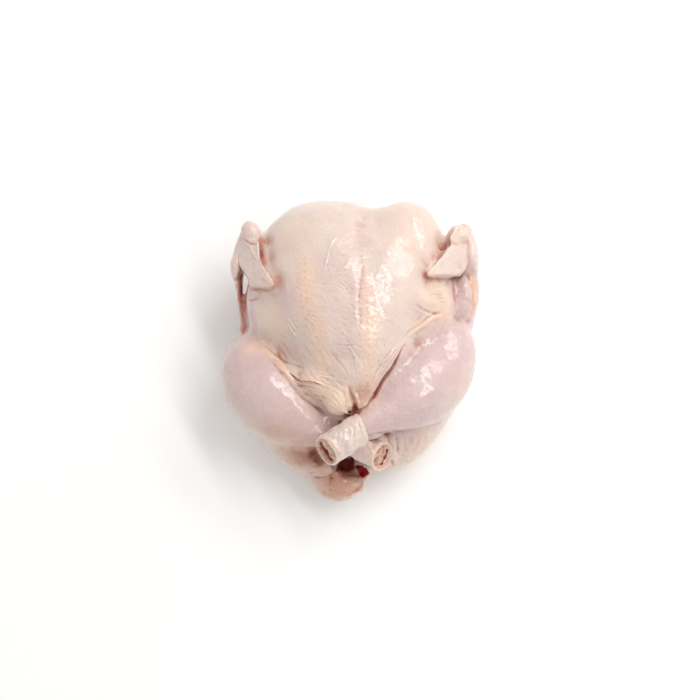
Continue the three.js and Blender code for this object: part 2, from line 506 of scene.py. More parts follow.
def drawInHocks(skin):  # the shanks' ends go in, to leave room for the cuffs
    coreRadius, setBack = 7.5, 6
    places, _ = readPoints(skin.data)
    for hock in hocks.values():
        depth, across, rise = fromCut(hock, places)
        beside = np.hypot(across, rise).clip(0.01)
        atEnd = ramp(depth, -38, -24)
        near = atEnd * (beside < 14 + 8 * atEnd) * ramp(places[:, 2] / mm, hock["floor"], hock["floor"] + 4)
        thinner = 1 - near * (1 - np.minimum(1, coreRadius / beside))
        shorter = near * (np.minimum(depth, -setBack) - depth)
        out, side, upward = [np.array(way) for way in hockWays(hock)]
        sideways = (across[:, None] * side + rise[:, None] * upward) * (thinner - 1)[:, None]
        places += (sideways + shorter[:, None] * out) * mm
    x, y, z = places.T / mm
    under = ramp(x, 36, 26) * ramp(x, 2, 10) * ramp(y, -57, -65) * ramp(z, 66, 73)
    places[:, 1] += 4.5 * under * mm  # the left shank is narrow above the lower hock
    writePoints(skin.data, places)


# the flat hand of each wing and its wrist knuckle, seen by the camera; `top` is (x, y, z) of a point on its
# upper face, and `slope` how fast that face rises to +x and to +y
hands = {
    "left": {
        "outline": [
            *[(82.4, 94), (79.4, 89.8), (81, 86), (76, 78), (68.5, 69.5), (62, 63), (60.8, 60.4)],
            *[(65, 59), (74, 59.6), (81, 60), (88.6, 60), (93.6, 66), (97, 71), (99.6, 80), (98.6, 89)],
            *[(94, 95.6), (88, 99.6), (84, 98.4)],
        ],
        "top": (68.2, 56.4, 100.5),
        "slope": (-0.92, 0.02),
        "bones": [(85, 80, 82), (77, 57, 90), (68, 50, 96)],
        "knuckle": (87.4, 92),
        "knuckleZ": 79,
        "knuckleHalf": (8.5, 7.5, 5.5),
        "knuckleWay": (1, -0.6, 0),
    },
    "right": {
        "outline": [
            *[(-73.4, 87), (-72.6, 76), (-68.2, 65), (-64, 58.6), (-60.6, 54), (-61, 51.4), (-65, 50)],
            *[(-72, 50.4), (-80.2, 50.8), (-81.6, 57), (-85.4, 63.4), (-90.4, 71), (-91, 84), (-88, 92)],
        ],
        "top": (-68, 52, 99.5),
        "slope": (0.95, -0.1),
        "bones": [(-79, 80, 83), (-71, 45, 94), (-66, 38, 98)],
        "knuckle": (-78.8, 93),
        "knuckleZ": 80,
        "knuckleHalf": (11, 7.4, 7),
        "knuckleWay": (0.35, -0.94, 0),
    },
}


def placeOnPlane(place, point, normal):
    ray = rayTo(place)
    return (eye + ray * ((Vector(point) * mm - eye).dot(normal) / ray.dot(normal))) / mm


def handNormal(hand):
    return Vector((-hand["slope"][0], -hand["slope"][1], 1)).normalized()


def drawInHands(skin):  # the solid's hands go in under the finer ones
    within, sink = 19, 4
    places, _ = readPoints(skin.data)
    for hand in hands.values():
        normal = np.array(handNormal(hand))
        chosen, distance, *_ = besideLine(places, np.array(hand["bones"], float) * mm, within * mm)
        height = (places[chosen] / mm - np.array(hand["top"])) @ normal
        share = ramp(distance / mm, within, within - 5) * ramp(height, -13, -9)
        places[chosen] -= (sink * share)[:, None] * normal * mm
    rightWrist, inwards = (-83, 97, 70), (4.5, -2.5, 0)
    nearWrist = np.linalg.norm(places / mm - rightWrist, axis=1)
    places += ramp(nearWrist, 15, 7)[:, None] * np.array(inwards) * mm
    x, y, _ = places.T / mm
    # the right upper arm is nearer the body, and thin beside the gap
    arm = ramp(x, -82, -85) * ramp(y, 60, 55) * ramp(y, 16, 24)
    places[:, 0] += arm * (4.4 + ramp(y, 34, 40) * (-2.6 - 0.5 * (x + 90))) * mm
    writePoints(skin.data, places)


# flesh that fills the skin out: a place in the picture, half sizes, way and how deep its middle is sunk
lumpsUnder = [
    ((-11, -39), (17, 13, 11), (0.4, -1, 0), 3),  # loose belly skin on either side of the slit
    ((-24, -29), (18, 13, 9), (0.9, -0.5, 0), 3),
    ((12, -34), (15, 8, 9), (-0.4, -1, 0), 5),
    ((-40, -21), (17, 7, 6), (0.9, -0.5, 0), 2),  # flap over the drumstick's crease
    ((-26, -93), (15, 8, 7), (1, -0.3, 0), 2.5),  # rump rim beside the tail
    ((4, -106), (9, 7, 6), (0.8, -0.6, 0), 2.5),  # and the right of the tail
    ((63, 14), (26, 8, 8), (0.8, 0.58, -0.1), 4),  # top of the left drumstick
]

# and where the camera doesn't see the middle: (x, y, z), half sizes and way
lumpsAt = [
    ((90.5, 42, 63), (20, 9, 10.5), (-0.1, -1, 0)),  # left upper arm
    ((96, 77, 69), (19, 6.8, 10.5), (0.12, -1, 0)),  # and forearm
    ((-88.2, 74, 69), (22, 5.4, 9.5), (0.2, 1, 0)),  # right forearm
    ((-84.5, 18, 42), (8, 5, 9), (0, 1, 0)),  # and the elbow's corner
    ((-9.5, -60, 64), (8, 7, 6), (0.8, -0.6, 0)),  # behind the crossed hocks
    ((61, 67, 83), (13, 12, 9), (0.35, 1, 0)),  # breast behind the hands
    ((-58, 68, 82), (14, 12, 9), (-0.3, 1, 0)),
]


def startSkin():
    skin = copyNode(skinPiece["node"])
    skin.name = "skin"
    tree = treeOf(skin)
    drawInHocks(skin)
    drawInHands(skin)
    lumps = []
    for place, half, way, sink in lumpsUnder:
        spot, facing = findSpot(tree, place)
        lumps.append(addLump((spot / mm) - facing * sink, half, way, facing))
    lumps += [addLump(*lump) for lump in lumpsAt]
    joinInto(skin, lumps)
    remesh(skin, skinPiece["startVoxel"])
    cutOut(skin, addLump(*skinPiece["cuffRoom"]))
    remesh(skin, skinPiece["startVoxel"])
    return skin


def smoothSkin(skin):
    form = startForm(skin)
    x, y, _ = form["places"].T / mm
    thin = ramp(np.abs(x), 70, 78) * ramp(y, 24, 38)
    addGroup(skin, "thick", 1 - thin)
    addGroup(skin, "thin", thin)
    addGroup(skin, "seam", paint(form, [(skinPiece["drumSeam"], 7, 1.0, 0.1)]))
    soften(skin, skinPiece["bodyPasses"], "thick")
    soften(skin, skinPiece["wingPasses"], "thin")
    soften(skin, 2 * skinPiece["bodyPasses"], "seam")
    useModifier(skin, "SUBSURF", levels=1, render_levels=1)
    skin.vertex_groups.clear()


def refineSkin(skin):  # finer faces on the breast and belly, where the small wrinkles go
    faces = skin.data.polygons
    x, y, z = readAll(faces, "center").T / mm
    upwards = readAll(faces, "normal")[:, 2] > 0.15
    makeActive(skin)
    bpy.ops.object.mode_set(mode="EDIT")
    bpy.ops.mesh.select_mode(type="FACE")
    bpy.ops.mesh.select_all(action="DESELECT")
    bpy.ops.object.mode_set(mode="OBJECT")
    chosen = (np.abs(x + 2) < 50) & (y > -98) & (y < 62) & (z > 52) & upwards
    skin.data.polygons.foreach_set("select", chosen)
    bpy.ops.object.mode_set(mode="EDIT")
    bpy.ops.mesh.subdivide(number_cuts=1)
    bpy.ops.object.mode_set(mode="OBJECT")


# a clouded displacement, drawn out along one way where `stretch` isn't 1
def roughen(skin, size, height, group="", stretch=1, towards=0):
    texture = bpy.data.textures.new("cloud", "CLOUDS")
    texture.noise_scale = size * mm
    texture.noise_depth = 1
    clearSelection()
    bpy.ops.object.empty_add(rotation=(0, 0, math.radians(towards)))
    guide = bpy.context.object
    guide.scale = (stretch, 1, 1)
    bpy.context.view_layer.update()
    useModifier(
        skin,
        "DISPLACE",
        texture=texture,
        texture_coords="OBJECT",
        texture_coords_object=guide,
        strength=height * mm,
        mid_level=0.5,
        vertex_group=group,
    )
    bpy.data.objects.remove(guide)
    bpy.data.textures.remove(texture)


# large soft forms first: place, radius, height
swells = [
    ((-3, -93), 6, -6),  # into the cavity under the upper hock
    ((9, -97), 4, -3),
    ((-26, -87), 8, -5.5),  # recess of the rump
    ((-15, -101.5), 4.5, -2.2),
    ((-1, -53), 4, -2.5),  # dark gap above the crossed hocks
    ((-7, -109), 9, 2.4),  # dome of the tail
    ((-12, -42), 9, 1.5),
    ((-33, -34), 6, -1.5),
]

# path, width, height, and the shape and fade where they aren't a ridge's
creases = [
    # down the middle of the breast
    ([(15, 112), (9, 99), (7, 83), (9, 74)], 7, -0.7, ridge, 0.4),
    ([(9.4, 78), (8.4, 50), (7.6, 38), (8.8, 12)], 3, -0.5),
    ([(9.6, 66), (9.2, 57)], 0.9, 0.3, groove),
    ([(8.6, 54), (7.6, 46), (7.0, 39)], 0.9, 0.35, groove),
    ([(7.4, 36), (8.6, 26), (8.2, 18)], 0.9, 0.3, groove),
    ([(4, 60), (4.4, 44), (4.8, 30), (6, 16)], 2.0, 0.5),
    # thin lines where the membrane pulls
    ([(-25, 55), (-20, 67), (-14.4, 87), (-4, 94)], 0.7, 0.4),
    ([(-24, 53.6), (-9, 61.6), (-1.6, 70), (1, 77)], 0.7, 0.45),
    ([(-19, 97), (-13.6, 104)], 0.8, 0.3),
    # right flank
    ([(-51, 28), (-47, 21), (-42, 13.6)], 0.9, 0.6),
    ([(-50, 22), (-46, 15), (-42, 9)], 0.9, 0.6),
    # breast against the left drumstick
    ([(50, 38), (59, 32), (68, 28.8), (75, 29.4)], 1.0, 0.6, groove),
    ([(76, 32), (65, 27), (56, 20.6), (47, 14), (41, 5)], 1.3, 0.9, groove),
    ([(44, 12.8), (55, 19), (68, 26.5), (77, 29)], 2.2, 0.6),
    ([(22, -13), (29, -7), (36, 1), (41, 5)], 1.2, 1.0),
    ([(40, 3), (31, -9), (24, -20), (19, -32)], 0.9, 1.0),
    ([(35, 3), (27, -8), (20, -20), (16, -30)], 0.9, 0.7, groove),
    ([(47, 8), (41, -1), (34.4, -14), (26.4, -25), (20, -36), (11, -47)], 1.1, -3.4),
    # and against the right one
    ([(-72, 4), (-66, -2), (-57, -9), (-52.8, -16), (-45, -27)], 2.2, 1.6),
    (
        [(-68, -8), (-61, -11), (-56, -16.6), (-50, -23), (-45, -29), (-38, -37), (-22, -49), (-11, -55)],
        *(1.2, -1.5),
    ),
    ([(-60, 1), (-54, -8), (-45, -12), (-35, -15)], 1.0, 0.7, groove),
    ([(-20, -30), (-28, -26), (-39, -24), (-50, -17)], 1.2, 2.2, fold),
    ([(-44, -28), (-33, -30), (-22, -34)], 1.2, 0.8, groove),
    ([(-40, -31), (-31, -34), (-22, -38)], 1.1, 0.8),
    ([(-39, -34), (-31, -38), (-24, -42)], 1.0, 0.6, groove),
    # the belly between the drumsticks
    ([(-1.6, -28), (0, -33), (2, -38), (4, -45), (5, -51)], 1.4, -2.0),
    ([(-3.6, -28), (-2.6, -38), (-2, -48)], 1.0, 1.2),
    ([(3.4, -33), (6.4, -40), (8, -47)], 1.0, 1.0),
    ([(-5, -49), (1, -51), (8, -48)], 0.8, 1.8),
    ([(-0.5, -43), (1, -48), (1, -53)], 0.7, 1.6),
    ([(17, -41), (10, -46), (3, -44)], 1.0, 1.4, fold),
    ([(-17, 0), (-9, -10), (0, -21)], 1.0, 0.5, groove),
    ([(-14, 4.4), (-4, 3.6), (7, 4)], 0.6, 0.4, groove),
    ([(-34, -15), (-30, -21), (-26, -25)], 1.0, 0.6, groove),
    # the left thigh beside the hocks
    ([(36, -68), (38, -77), (38.4, -85)], 1.1, 1.0, groove),
    ([(32.8, -87), (35, -94)], 1.1, 0.8, groove),
    # tail and rump
    ([(-11, -92), (-14, -96), (-19, -99.4), (-26.7, -100.4), (-36, -98)], 1.7, 2.6, fold),
    ([(-22, -104), (-16, -112), (-6, -114), (3, -110)], 1.4, 0.45, groove),
    ([(-18, -104), (-13, -109), (-5, -110.5), (2, -107)], 1.2, 0.4, groove),
    ([(-13, -104), (-9, -107), (-4, -107), (0, -104.6)], 1.2, 0.4, groove),
    ([(-26, -104), (-20, -114), (-8, -118)], 1.4, 0.4, groove),
    ([(4, -101), (8, -105), (9, -110)], 1.2, 0.5),
    ([(2.6, -87), (4.6, -92), (6, -96), (9, -101)], 0.8, 1.4),  # membrane at the vent
    # wings: along the upper arms
    ([(93.4, 66), (97, 55), (99, 45), (97.5, 34)], 1.2, 0.8),
    ([(-87, 54), (-87, 44), (-86, 30), (-85, 20)], 1.2, -0.7),
    ([(-82, 41), (-78, 40), (-72, 42)], 1.2, 0.8, groove),
]

# first path, shift to the next, count, width, height
wrinkleRows = [
    ([(66, 47), (71, 46), (77, 46)], (1.2, -3.2), 3, 0.7, 0.7),
    ([(44, -66), (45, -74), (44, -82)], (5.5, 1.5), 4, 0.9, 0.5),
]

# outline and guide lines, then how many wrinkles, how long, how wide and how high
wrinkleFields = [
    (  # loose skin on the right of the belly's slit
        [(-46, -17), (-20, -14), (-3, -25), (-1, -50), (-10, -54), (-24, -48), (-38, -36)],
        [
            [(-27.4, -26.5), (-14.7, -27.5), (-4.9, -33.3), (-1, -43), (-2, -50)],
            [(-31.3, -36.3), (-19.6, -38.2), (-11.7, -45), (-6.8, -51)],
            [(-44, -28.4), (-31.3, -30.4), (-19.5, -33.3)],
            [(-24.4, -48), (-14.7, -51), (-6.8, -53.9)],
        ],
        *(90, (8, 24), (0.45, 0.95), 0.4),
    ),
    (  # and on its left
        [(2, -8), (24, -6), (26, -18), (17, -42), (7, -44), (1, -28)],
        [
            [(-2, -13.8), (2.9, -23.6), (6.9, -41.2)],
            [(10.8, -12.8), (10.8, -28.5), (14.7, -40.2)],
            [(31.3, -4), (23.5, -13.8), (19.6, -28.5), (18.6, -36.3)],
        ],
        *(50, (8, 20), (0.4, 0.8), 0.32),
    ),
    (
        [(3, -12), (22, -10), (20, -38), (6, -40)],
        [[(4.9, -17.7), (18.6, -14.8)], [(2.9, -41.2), (10.8, -43.1), (18.6, -38.2)]],
        *(24, (4, 10), (0.4, 0.7), 0.28),
    ),
    (  # beside the keel
        [(-13, 58), (9, 58), (9, -6), (-12, -6)],
        [[(-9, 51), (0, 46), (6.5, 38)], [(-9, 12), (0, 8), (7, 0)]],
        *(80, (5, 14), (0.4, 0.7), 0.32),
    ),
    (  # over the line of fat on the right of the keel
        [(-44, 62), (-20, 56), (-14, 4), (-34, 10)],
        [[(-38, 57), (-33, 52), (-25, 50)], [(-34, 26), (-27, 20), (-19, 18)]],
        *(64, (4, 11), (0.4, 0.65), 0.24),
    ),
    (  # and faint ones on its left
        [(11, 60), (40, 58), (34, 4), (11, 0)],
        [[(12, 52), (22, 51.5), (34, 51)], [(12, 14), (22, 10), (30, 2)]],
        *(50, (6, 16), (0.4, 0.7), 0.16),
    ),
    (  # pulled towards the right drumstick
        [(-64, 26), (-30, 20), (-16, -14), (-30, -18), (-58, -2)],
        [[(-60, 22), (-47, 6), (-36, -10)], [(-40, 20), (-28, 2), (-18, -14)]],
        *(44, (8, 24), (0.5, 1.0), 0.3),
    ),
    (  # across the middle of the belly above it
        [(-16, 2), (8, 0), (4, -26), (-10, -22)],
        [[(-17, 0), (-9, -10), (-2, -24)], [(-4, -2), (2, -12), (4, -24)]],
        *(30, (6, 16), (0.4, 0.8), 0.28),
    ),
    (  # the skin of the left thigh, drawn together under the crossed hocks
        [(34, -68), (74, -60), (70, -84), (42, -98)],
        [[(38, -68), (40, -80), (40, -92)], [(60, -62), (60, -74), (54, -88)]],
        *(26, (6, 18), (0.6, 1.2), 0.35),
    ),
]

# rows of feather pores, each a pimple with an orange dot: path, spacing, wander
poreRows = [
    ([(9.8, 82), (9.6, 58), (8, 50), (7.2, 38), (8.6, 14), (9, -4)], 5.4, 0.4),
    ([(-36, 76), (-35, 50), (-33, 32), (-27, 12), (-22, -4)], 5.5, 0.9),
    ([(-41, 64), (-39, 44), (-37, 28), (-31, 10)], 5.8, 1.2),
    ([(14, 40), (15, 20), (16, 8), (16, -6), (14, -22)], 4.4, 0.9),
    ([(20, 30), (21, 12), (21, -6)], 5.0, 1.2),
    ([(26, 24), (27, 10), (27, 0)], 6.5, 1.5),
    ([(78, 52), (70, 51), (62, 50)], 5.0, 1.0),
]
pimple = {"radius": 1.0, "height": 0.3, "dot": 0.8, "redness": 0.35}


def porePlaces():
    places = []
    for path, spacing, wander in poreRows:
        samples = smoothPath(path)
        for i in np.arange(2, len(samples) - 2, spacing).astype(int):
            places.append(tuple(samples[i] + chance.normal(0, wander / 2, 2)))
    return places


pores = porePlaces()


def sculptSkin(skin):
    form = startForm(skin)
    for place, radius, height in swells:
        form["lift"] += height * mm * blot(form, place, radius)
    liftForm(skin, form)
    form = startForm(skin)
    for crease in creases:
        press(form, *crease)
    for row in wrinkleRows:
        pressRow(form, *row)
    for field in wrinkleFields:
        pressField(form, *field)
    for place in pores:
        form["lift"] += pimple["height"] * mm * blot(form, place, pimple["radius"])
    # the creases deeper than 1.4 mm, for the dark brown shade painted in them
    addGroup(skin, "crease", np.clip((-form["lift"] / mm - 1.4) / 2, 0, 1))
    liftForm(skin, form)


def crinkleSkin(skin):
    places, facings = readPoints(skin.data)
    x, y, z = places.T / mm
    up = ramp(facings[:, 2], 0, 0.5)
    addGroup(skin, "belly", up * np.exp(-(((x + 3) / 34) ** 2 + ((y + 24) / 30) ** 2)))
    addGroup(skin, "ribs", up * np.exp(-(((x + 4) / 46) ** 2 + ((y - 26) / 34) ** 2)))
    addGroup(skin, "rump", ramp(y, -60, -85) * ramp(z, 66, 46))
    addGroup(skin, "neck", ramp(y, 84, 104) * ramp(z, 70, 40))
    addGroup(skin, "wings", ramp(np.abs(x), 84, 90) * ramp(y, 26, 36))
    roughen(skin, 9, 2.4, "wings")
    roughen(skin, 17, 1.6)
    roughen(skin, 5, 1.1, "belly", stretch=3.2, towards=-52)
    roughen(skin, 2.0, 0.5, "ribs", stretch=4, towards=-8)
    roughen(skin, 4.5, 1.6, "rump", stretch=1.8, towards=40)
    roughen(skin, 6, 2.2, "neck", stretch=2.5, towards=8)
    roughen(skin, 2.6, 0.28)


def thinSkin(skin):
    triangles = sum(len(face.vertices) - 2 for face in skin.data.polygons)
    print("skin triangles before thinning", triangles)
    useModifier(skin, "DECIMATE", ratio=min(1, skinPiece["mostTriangles"] / triangles))


def groupValues(skin, name):
    index = skin.vertex_groups[name].index
    values = np.zeros(len(skin.data.vertices))
    for i, vertex in enumerate(skin.data.vertices):
        for entry in vertex.groups:
            if entry.group == index:
                values[i] = entry.weight
    return values


def limbMask(places, bones, radius):
    chosen, distance, *_ = besideLine(places, np.array(bones, float) * mm, radius * mm)
    mask = np.zeros(len(places))
    mask[chosen] = ease((radius * mm - distance) / (radius * mm * 0.3))
    return mask


# dark red flesh of the cavity, painted darker as the shade of its depth
def cavityFleshAndShadeMask(places, facings):  # the walls that face the middle of the cavity
    line = np.array(skinPiece["cavity"], float) * mm
    chosen, distance, _, _, gap = besideLine(places, line, 36 * mm)
    inward = -(facings[chosen] * gap).sum(1) / distance.clip(1e-6)
    atVent, within = skinPiece["cavityRadius"]
    wall = atVent + (within - atVent) * ramp(places[chosen, 1] / mm, -100, -50)
    mask = np.zeros(len(places))
    mask[chosen] = ease((inward - 0.15) / 0.3) * ease((wall - distance / mm) / 3)
    return mask * ramp(places[:, 1] / mm, -104, -96)


# breast and belly, down to the creases along the drumsticks
trunkOutline = [(-74, 10), (-57, -10), (-45, -28), (-22, -48), (-8, -56), (6, -53), (20, -36), (34, -14)]
trunkOutline += [(46, 12), (65, 26), (80, 31), (84, 120), (-84, 120)]
cavityOutline = [(-12.4, -98), (-10, -92), (-6, -87), (3, -85), (3.4, -91), (2.6, -95)]
cavityOutline += [(-1, -97), (-5, -96.4)]
underArmOutline = [(-82, 64), (-82, 44), (-83.4, 34), (-82.4, 18), (-85, 12), (-96, 24)]
underArmOutline += [(-98, 54), (-90, 56), (-88, 66)]

strokes = {
    # dark meat where it shows through the breast and the wings
    "muscle": [
        *[((-45, 38), 16, 0.7), ((-12, 76), 15, 0.45), ((-2, 24), 11, 0.5), ((-6, 0), 10, 0.5)],
        *[((90, 46), 14, 0.9), ((-78, 75), 9, 0.35), ((30, -10), 9, 0.3)],
    ],
    # yellow fat under thinner skin
    "fat": [
        ([(-36, 84), (-35, 56), (-33, 36), (-27, 12), (-22, -8), (-14, -30)], 9, 0.7),
        ([(14, 66), (14, 32), (16, 10), (16, -18), (12, -32)], 7, 0.6),
        ([(-73, 7), (-66, -1), (-57, -8), (-53, -16), (-45, -28)], 4, 0.9),
        ([(46, 14), (56, 21), (68, 28), (77, 30)], 4, 0.6),
        *[((68, 44), 15, 0.5), ((-12, -40), 15, 0.9), ((-30, -30), 12, 0.7), ((12, -36), 10, 0.8)],
        *[((-38, -22), 8, 0.7), ((-78, 2), 8, 0.8), ((78, 28), 8, 0.6), ((50, 92), 24, 0.35)],
        *[((-46, 92), 20, 0.3), ((-60, 24), 12, 0.5), ((5, -54), 6, 0.8), ((-64, 54), 7, 0.6)],
        *[((68, 61), 9, 0.6), ((88, 86), 9, 0.4), ((60, -80), 18, 0.4)],
        ([(96, 60), (99, 50), (99.6, 42), (98, 32), (95, 22)], 4, 1.0, 0.1),
    ],
    # reddish juice and bruising, and painted shade: warm red-brown shadows under the hands' edges, in the
    # wings' notches, along the creases and in the rump's recess
    "blushAndShade": [
        ([(-70, 93), (-71, 86), (-70, 76), (-67, 65)], 3, 0.9),
        ([(82, 94), (78, 86), (72, 78), (65, 69)], 3.4, 0.8),
        ([(82, 62), (82.6, 50), (84, 36)], 1.6, 0.8),
        ([(93, 66), (96.5, 57), (99.5, 46), (98.5, 36), (96, 24)], 3, 0.4),
        ([(-81, 49), (-70, 48.4), (-60, 49.6)], 2, 0.9),
        ([(58.6, 61), (63, 57.8), (72, 57.6), (83, 58.6)], 2.4, 1.0, 0.1),
        ([(9.6, 78), (9.6, 58), (8, 50), (7.5, 38), (8.8, 14)], 0.9, 0.2),
        ([(20, -66), (30, -65), (47, -64.5), (66, -60), (74, -57)], 1.4, 0.6),
        ([(46, 8), (40, -2), (34, -14), (26, -26), (17, -39)], 1.5, 0.6),
        ([(-36, -80), (-30, -83.5), (-24, -88), (-21, -93)], 5, 0.9),
        ([(-13, -99), (-4, -100), (4, -100), (10, -104)], 3.4, 0.8),
        *[((-57.5, 53), 4.5, 0.5), ((60, 60.4), 2.6, 0.9), ((-15, -100), 6, 0.5), ((12, -34), 9, 0.45)],
        *[((-8, -110), 14, 0.25), ((-40, -80), 16, 0.2)],
        ([(-4, -117), (1, -115.5), (5, -112.5), (9.4, -108.6), (11, -106)], 1.5, 1.0),
    ],
    # painted shade: dark brown in the deepest creases and recesses
    "brownShade": [
        ([(41, 0), (34, -15), (26, -26), (20, -36), (11, -47)], 0.9, 0.5),
        ([(-72.4, 87), (-71.4, 80), (-69.6, 72)], 1.6, 0.7),
        ([(80, 86), (75, 79), (69, 71)], 1.2, 0.5),
        ([(20, -65.5), (26, -66.5), (34, -66)], 1.6, 0.6),
        ([(-34, -81), (-28, -84), (-23, -88.6), (-20.6, -92)], 4, 0.75),
        *[((-4, -55), 4, 0.5), ((-36, -84), 14, 0.3), ((12, -33), 6, 0.3)],
    ],
    # the tail's own tan, and painted shade darker over the rump and the thigh beside it
    "tanAndShade": [((-8, -108), 20, 0.85), ((-38, -82), 20, 0.85), ((18, -100), 10, 0.4), ((-60, -66), 14, 0.5)],
}


def paintSkin(skin):
    form = startForm(skin)
    places, facings = form["places"], form["facings"]
    x, y, z = places.T / mm
    seen = inPicture(places)
    trunk = areaMask(seen, trunkOutline, 2) * ramp(z, 40, 50)
    tailEnd = y < -60

    muscle = np.zeros(len(places))
    for bones, radius, share in skinPiece["limbs"]:
        muscle = np.maximum(muscle, limbMask(places, bones, radius) * share)
    muscle *= ramp(y, -80.4, -68.4) * (1 - trunk)

    # painted shade: red on the right upper arm, in the gap beside the body
    underArmShade = ramp(facings[:, 2], -0.3, 0.2) * ramp(z, 16, 30) * (x < -78)
    blushAndShade = paint(form, strokes["blushAndShade"], 0.95 * areaMask(seen, underArmOutline, 1.2) * underArmShade)
    for place in pores:
        dab(form, blushAndShade, place, pimple["dot"], pimple["redness"])

    # painted shade: dark brown in the creases deeper than 1.4 mm and along the listed strokes
    brownShade = paint(form, strokes["brownShade"], groupValues(skin, "crease") * 0.35)
    masks = {
        "muscle": paint(form, strokes["muscle"], muscle),
        "fat": paint(form, strokes["fat"]),
        "blushAndShade": blushAndShade,
        # the painted dark brown shade also covers the mouth of the cavity
        "brownShade": np.maximum(brownShade, 0.8 * areaMask(seen, cavityOutline, 3) * tailEnd),
        # tan, more of it towards the bottom of the body
        "tanAndShade": np.maximum(paint(form, strokes["tanAndShade"]), 0.3 * ramp(z, 34, 4)),
        # painted shade over the cavity's dark red flesh, also within its outline in the picture
        "inside": np.maximum(cavityFleshAndShadeMask(places, facings), areaMask(seen, cavityOutline, 1.2) * tailEnd),
        # painted shade deep in the folds, half as strong on the upper breast
        "hollow": foldShadeMask(skin.data, [form["tree"]]) * (1 - 0.5 * trunk * ramp(y, 20, 40)),
        # painted shade in the valleys of the wrinkles
        "furrowShade": furrowShadeMask(skin.data),
    }
    writeMasks(skin, masks)
    skin.vertex_groups.clear()


# materials
def colour(hexValue):  # sRGB hex to linear
    shares = [int(hexValue[i : i + 2], 16) / 255 for i in (1, 3, 5)]
    return [*[c / 12.92 if c <= 0.04045 else ((c + 0.055) / 1.055) ** 2.4 for c in shares], 1]


def startMaterial(name, shader):  # `shader` holds what is the same all over
    material = bpy.data.materials.new(name)
    material.use_nodes = True
    surface = material.node_tree.nodes["Principled BSDF"]
    for socket, value in shader.items():
        surface.inputs[socket].default_value = value
    return material, material.node_tree, surface


def addNode(tree, kind, feeds, **settings):
    made = tree.nodes.new("ShaderNode" + kind)
    for name, value in settings.items():
        setattr(made, name, value)
    for socket, value in feeds.items():
        if isinstance(value, bpy.types.NodeSocket):
            tree.links.new(value, made.inputs[socket])
        else:
            made.inputs[socket].default_value = value
    return made


def perMm(size):  # a texture's scale for features of that size
    return 1 / (size * mm)


# plucked, chilled raw skin: translucent, so the meat shows through, and wet, with pores that break the shine
skinLook = {
    "cream": "#dfcdc0",
    "rose": "#d8c0b8",
    "meat": "#cdb1b0",
    "fat": "#ecc9aa",
    # reddish flesh tone, also used as painted warm shade
    "blushAndShade": "#b9644a",
    # painted shade, dark brown, in the deepest creases and recesses
    "brownShade": "#6a2818",
    # the tail's tan, also used as painted shade on the rump and thigh
    "tanAndShade": "#c28e6c",
    # the cavity's dark red flesh, made darker as painted shade of its depth
    "inside": "#560d06",
    # painted shade: the orange-brown multiplied into the folds and, lighter, into each wrinkle's valley
    "hollow": "#cf7c54",  # light goes orange deep in the folds
    "furrowShade": "#d39a76",  # and a little in each wrinkle
    "poreDot": "#dccab6",
    "clouds": {"broad": (26, 3), "blotch": (8, 4), "fine": (1.1, 3)},  # size and detail
    "poreSpacing": 3.4,
    "roughness": (0.28, 0.5),
    "pimpleHeight": 0.35,
    "grainHeight": 0.3,
    "shader": {
        "Subsurface Weight": 0.5,
        "Subsurface Radius": (1.0, 0.4, 0.25),
        "Subsurface Scale": 2.4 * mm,
        "IOR": 1.4,
        "Specular IOR Level": 0.3,
        "Coat Weight": 0.85,
        "Coat Roughness": 0.14,
    },
}

# what lies over the cream skin, from the bottom up: colour, mask, cloud that breaks it up, how little and how
# much of it shows, and blend
skinLayers = [
    ("rose", "", "broad", 0, 1, "MIX"),
    ("meat", "muscle", "blotch", 0.55, 1, "MIX"),
    ("fat", "fat", "blotch", 1, 0.45, "MIX"),
    ("tanAndShade", "tanAndShade", "blotch", 0.6, 1, "MIX"),
    ("poreDot", "muscle", "dots", 0, 0.34, "MIX"),
    ("blushAndShade", "blushAndShade", "blotch", 0.6, 1, "MIX"),
    # the last four layers are painted shade: orange in the wrinkles' valleys and deep in the folds, dark
    # brown in the deepest creases, and the cavity's dark red flesh made darker; the blush and tan layers also
    # carry painted shade
    ("furrowShade", "furrowShade", "blotch", 0.5, 1, "MULTIPLY"),
    ("hollow", "hollow", "blotch", 0.85, 1, "MULTIPLY"),
    ("brownShade", "brownShade", "blotch", 0.8, 1, "MIX"),
    ("inside", "inside", "blotch", 0.9, 1, "MIX"),
]


